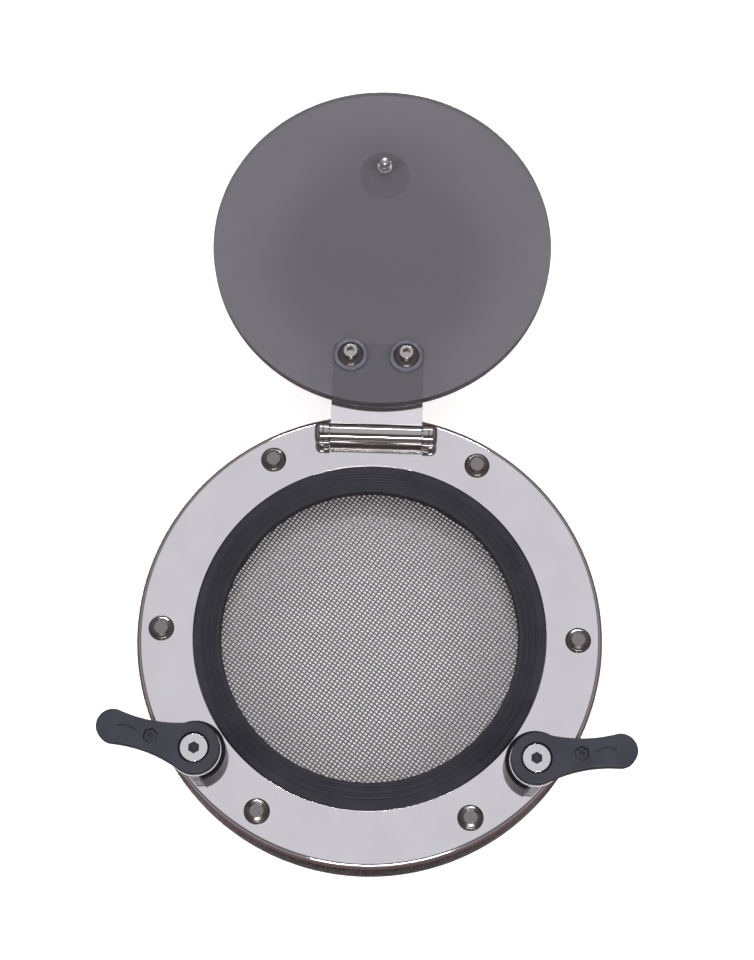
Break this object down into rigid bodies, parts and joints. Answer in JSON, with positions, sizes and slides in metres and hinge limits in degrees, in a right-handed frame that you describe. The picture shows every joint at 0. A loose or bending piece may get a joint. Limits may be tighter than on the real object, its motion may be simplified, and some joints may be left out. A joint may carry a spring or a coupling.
{
  "type": "deck hatch",
  "caption": "Round stainless opening hatch for a boat deck with a hinged smoked lid, rubber seal, insect screen and turning dogs that clamp the lid shut.",
  "frame": {"origin": "centre of the round opening, in the plane of the inner flange's face", "axes": "+Z out of the opening towards the lid side, +Y from the centre of the opening towards the hinge, +X along the hinge pin"},
  "size_m": [0.3361, 0.526, 0.0695],
  "materials": {
    "polished_steel": "mirror polished stainless steel",
    "satin_steel": "satin stainless steel",
    "seal_rubber": "soft matt black rubber",
    "wire_cloth": "fine woven stainless wire",
    "black_plastic": "moulded black plastic",
    "lever_plastic": "moulded black nylon, fine grain",
    "smoked_acrylic": "smoked cast acrylic, polished edge",
    "nylon": "natural translucent nylon",
    "dark_plastic": "dark grey plastic",
    "black_steel": "blackened steel"
  },
  "bodies": {
    "frame": {"inner_flange": "polished_steel", "spigot_tube": "satin_steel", "seal_ledge": "satin_steel", "lid_seal": "seal_rubber", "screen_frame_upper": "satin_steel", "insect_screen": "wire_cloth", "screen_frame_lower": "satin_steel", "screen_retaining_ring": "satin_steel", "outer_trim_ring": "polished_steel", "trim_collar": "satin_steel", "barrel_nuts": "polished_steel", "trim_screws": "polished_steel", "hinge_bracket": "polished_steel", "hinge_bracket_screws": "polished_steel", "hinge_pin": "polished_steel", "hinge_pin_cap": "polished_steel", "dog_foot_left": "black_plastic", "dog_foot_right": "black_plastic", "dog_posts": "satin_steel", "dog_washers": "polished_steel", "dog_bolts": "satin_steel"},
    "lid": {"lid_pane": "smoked_acrylic", "hinge_leaf": "polished_steel", "leaf_bushes": "nylon", "leaf_cup_washers": "dark_plastic", "leaf_screws": "polished_steel", "leaf_nuts": "polished_steel", "knob": "black_plastic", "knob_stud": "satin_steel", "knob_washer": "dark_plastic", "knob_nut": "polished_steel"},
    "dog_left": {"dog_lever_left": "lever_plastic", "press_screw_left": "black_steel", "press_pad_left": "seal_rubber"},
    "dog_right": {"dog_lever_right": "lever_plastic", "press_screw_right": "black_steel", "press_pad_right": "seal_rubber"}
  },
  "joints": [
    {"name": "lid_hinge", "type": "hinge", "parent": "frame", "child": "lid", "pos_m": [0, 0.132, 0.009], "axis": [1, 0, 0], "range_deg": [0, 180]},
    {"name": "dog_left_turn", "type": "hinge", "parent": "frame", "child": "dog_left", "pos_m": [-0.106, -0.081, 0.017], "axis": [0, 0, 1], "range_deg": [-130, 20]},
    {"name": "dog_right_turn", "type": "hinge", "parent": "frame", "child": "dog_right", "pos_m": [0.106, -0.081, 0.017], "axis": [0, 0, 1], "range_deg": [-20, 136]}
  ]
}
